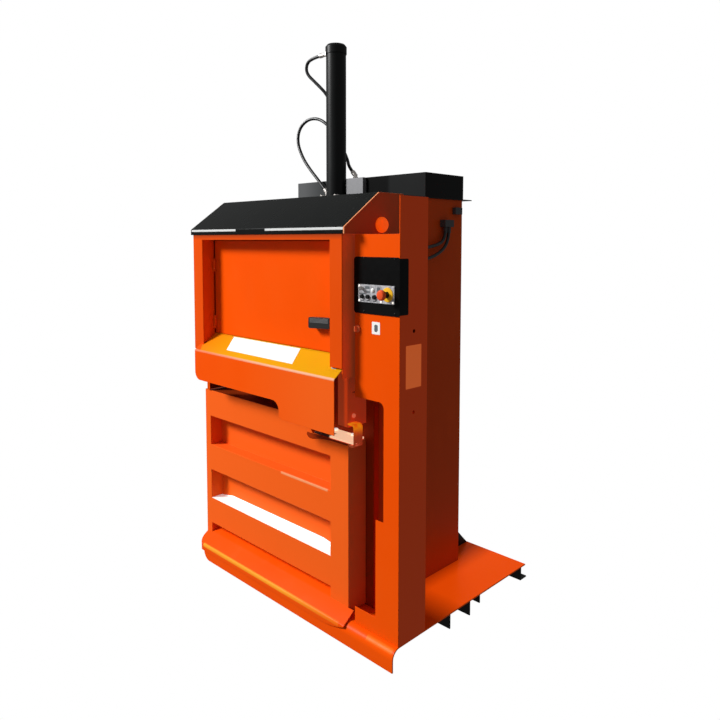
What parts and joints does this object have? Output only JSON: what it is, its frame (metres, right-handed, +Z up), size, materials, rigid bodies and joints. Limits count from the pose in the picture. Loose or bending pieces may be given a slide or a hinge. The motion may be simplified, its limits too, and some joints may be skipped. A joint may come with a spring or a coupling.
{
  "type": "vertical recycling baler",
  "caption": "Upright hydraulic baler with a strapping door, side-hung loading hatch, control column and a ram cylinder on top.",
  "frame": {"origin": "on the floor, at the centre of the base between its left, right, front and rear edges", "axes": "+Z up, -Y towards the operator's side with the door and hatch, +X towards the control column"},
  "size_m": [1.315, 0.992, 2.44],
  "materials": {
    "orange_steel": "satin",
    "black_steel": "satin",
    "bright_steel": "satin",
    "grey_steel": "satin",
    "chrome": "polished",
    "black_plastic": "matte",
    "grey_plastic": "satin",
    "yellow_plastic": "gloss",
    "red_plastic": "gloss",
    "orange_plastic": "gloss",
    "rubber": "matte"
  },
  "bodies": {
    "machine": {"base_deck": "orange_steel", "base_bearers": "black_steel", "rear_gussets": "black_steel", "chamber_shell": "orange_steel", "chamber_floor": "orange_steel", "door_jambs": "orange_steel", "cylinder_beam": "black_steel", "roof_plate": "black_steel", "front_frame": "orange_steel", "apron": "orange_steel", "sill_panel": "orange_steel", "door_cheek": "orange_steel", "hood": "black_steel", "hood_sides": "orange_steel", "signal_dome": "orange_plastic", "rear_cover": "black_steel", "valve_block": "grey_steel", "column_front_panel": "orange_steel", "column_side_panel": "orange_steel", "column_shelves": "orange_steel", "power_unit": "black_steel", "column_glands": "black_plastic", "control_housing": "black_plastic", "control_plate": "grey_plastic", "estop_collar": "yellow_plastic", "latch_keeper": "orange_steel", "cheek_bolt": "bright_steel", "frame_knuckles": "orange_steel", "hinge_pins": "bright_steel", "cylinder_barrel": "black_steel", "cylinder_cap": "black_steel", "hose_fittings": "bright_steel", "flange_bolts": "bright_steel", "cylinder_gland": "black_steel", "top_hose": "rubber", "low_hose": "rubber", "upper_cable": "rubber", "lower_cable": "rubber", "wall_boxes": "black_plastic"},
    "ram": {"platen": "orange_steel", "platen_shoes": "black_plastic", "piston_rod": "chrome", "piston": "bright_steel"},
    "main_door": {"door_shell": "orange_steel", "door_liner": "orange_steel", "door_skirt": "orange_steel", "door_hinge_leaves": "orange_steel", "slide_screws": "bright_steel"},
    "latch": {"latch_bolt": "bright_steel"},
    "hatch": {"hatch_panel": "orange_steel", "hatch_hinge_leaves": "orange_steel"},
    "hatch_lock": {"hatch_handle": "black_steel", "hatch_cam": "bright_steel"},
    "stop_button": {"estop_stem": "black_plastic"},
    "stop_head": {"estop_head": "red_plastic"},
    "start_push": {"start_button": "black_plastic"},
    "down_push": {"down_button": "black_plastic"},
    "up_push": {"up_button": "black_plastic"},
    "mode_key": {"key_switch": "bright_steel"},
    "column_lock": {"panel_lock": "orange_plastic"}
  },
  "joints": [
    {"name": "ram_slide", "type": "slide", "parent": "machine", "child": "ram", "axis": [0, 0, -1], "range_m": [0, 0.6]},
    {"name": "main_door_swing", "type": "hinge", "parent": "machine", "child": "main_door", "pos_m": [-0.662, -0.3, 0], "axis": [0, 0, -1], "range_deg": [0, 130]},
    {"name": "latch_slide", "type": "slide", "parent": "main_door", "child": "latch", "axis": [1, 0, 0], "range_m": [0, 0.03]},
    {"name": "hatch_swing", "type": "hinge", "parent": "machine", "child": "hatch", "pos_m": [-0.5365, -0.408, 0], "axis": [0, 0, -1], "range_deg": [0, 100]},
    {"name": "hatch_handle_turn", "type": "hinge", "parent": "hatch", "child": "hatch_lock", "pos_m": [0.276, 0, 1.228], "axis": [0, -1, 0], "range_deg": [0, 90]},
    {"name": "stop_push", "type": "slide", "parent": "machine", "child": "stop_button", "axis": [0, 1, 0], "range_m": [0, 0.006], "stiffness_N_per_m": 400},
    {"name": "stop_twist", "type": "hinge", "parent": "stop_button", "child": "stop_head", "pos_m": [0.588, 0, 1.356], "axis": [0, 1, 0], "range_deg": [0, 45], "stiffness_Nm_per_rad": 0.05},
    {"name": "start_press", "type": "slide", "parent": "machine", "child": "start_push", "axis": [0, 1, 0], "range_m": [0, 0.004], "stiffness_N_per_m": 300},
    {"name": "down_press", "type": "slide", "parent": "machine", "child": "down_push", "axis": [0, 1, 0], "range_m": [0, 0.004], "stiffness_N_per_m": 300},
    {"name": "up_press", "type": "slide", "parent": "machine", "child": "up_push", "axis": [0, 1, 0], "range_m": [0, 0.004], "stiffness_N_per_m": 300},
    {"name": "key_turn", "type": "hinge", "parent": "machine", "child": "mode_key", "pos_m": [0.463, 0, 1.374], "axis": [0, 1, 0], "range_deg": [0, 90]},
    {"name": "lock_turn", "type": "hinge", "parent": "machine", "child": "column_lock", "pos_m": [0.433, 0, 1.222], "axis": [0, 1, 0], "range_deg": [0, 90]}
  ]
}
